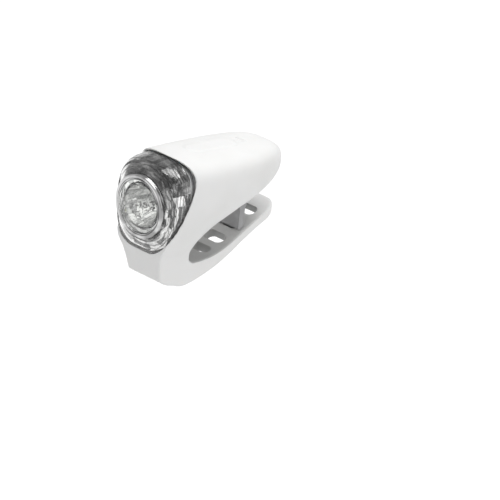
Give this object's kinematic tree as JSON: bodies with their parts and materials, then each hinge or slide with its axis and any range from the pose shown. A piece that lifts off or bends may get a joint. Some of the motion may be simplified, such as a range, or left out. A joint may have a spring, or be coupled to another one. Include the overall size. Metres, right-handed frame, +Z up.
{
  "type": "bicycle headlight",
  "caption": "Egg-shaped bicycle headlight in a one-piece silicone skin, with a clear front window, a slotted strap and a hook that holds it round a handlebar.",
  "frame": {"origin": "centre of the handlebar that the strap goes round, on the lamp's middle plane", "axes": "front faces -Y, so +Y runs back along the lamp's length; +X is the rider's left, along the handlebar; +Z is up"},
  "size_m": [0.0312, 0.07, 0.0506],
  "materials": {
    "skin": "smooth silicone skin",
    "button_skin": "smooth silicone pad",
    "hard_shell": "moulded housing",
    "clear_cover": "clear polycarbonate",
    "clear_lens": "clear polished lens",
    "bright_ring": "bright metallised ring",
    "mirror_bowl": "metallised moulding",
    "grey_plastic": "glass-filled nylon",
    "window": "light pipe",
    "emitter": "yellow phosphor under a clear dome",
    "alu_board": "white-coated aluminium board",
    "seal_rubber": "soft seal",
    "screw_steel": "zinc-plated",
    "circuit_board": "green glass-fibre board",
    "chip_black": "black chip package",
    "coil_can": "shielded coil",
    "capacitor_tan": "ceramic",
    "switch_black": "switch body",
    "plunger_white": "switch plunger",
    "led_clear": "small light",
    "socket_steel": "folded steel shell",
    "cell_foil": "foil pouch",
    "cell_board_green": "protection board",
    "wire_red": "insulated wire",
    "wire_black": "insulated wire",
    "foam": "foam"
  },
  "bodies": {
    "lamp": {"silicone_sleeve": "skin", "lower_housing": "hard_shell", "upper_housing": "hard_shell", "housing_seal": "seal_rubber", "cover_seal": "seal_rubber", "lens_cover": "clear_cover", "dome_lens": "clear_lens", "bezel_ring": "bright_ring", "reflector": "mirror_bowl", "led_emitter": "emitter", "led_board": "alu_board", "housing_screws": "screw_steel", "board_screws": "screw_steel", "hook_screws": "screw_steel", "led_board_screws": "screw_steel", "led_leads": "wire_black", "main_board": "circuit_board", "switch_body": "switch_black", "status_led": "led_clear", "charge_window": "window", "charge_chip": "chip_black", "driver_chip": "chip_black", "inductor": "coil_can", "capacitors": "capacitor_tan", "usb_socket": "socket_steel", "battery_cell": "cell_foil", "foam_pad": "foam", "cell_board": "cell_board_green", "battery_leads": "wire_red", "hook": "grey_plastic"},
    "strap": {"strap": "skin"},
    "button": {"power_button": "button_skin"},
    "plunger": {"switch_plunger": "plunger_white"},
    "plug": {"port_plug": "skin"}
  },
  "joints": [
    {"name": "strap_open", "type": "hinge", "parent": "lamp", "child": "strap", "pos_m": [0, -0.0181, -0.0086], "axis": [-1, 0, 0], "range_deg": [0, 85], "stiffness_Nm_per_rad": 0.02, "springref_deg": -20.05},
    {"name": "button_press", "type": "slide", "parent": "lamp", "child": "button", "axis": [0, 0, -1], "range_m": [0, 0.0005], "stiffness_N_per_m": 400},
    {"name": "plunger_press", "type": "slide", "parent": "lamp", "child": "plunger", "axis": [0, 0, -1], "range_m": [0, 0.0005]},
    {"name": "plug_open", "type": "hinge", "parent": "lamp", "child": "plug", "pos_m": [0, 0.0307, 0.01605], "axis": [1, 0, 0], "range_deg": [0, 100], "stiffness_Nm_per_rad": 0.0005, "springref_deg": -17.19}
  ],
  "couplings": [
    {"joint": "plunger_press", "follows": "button_press", "ratio": 1}
  ]
}
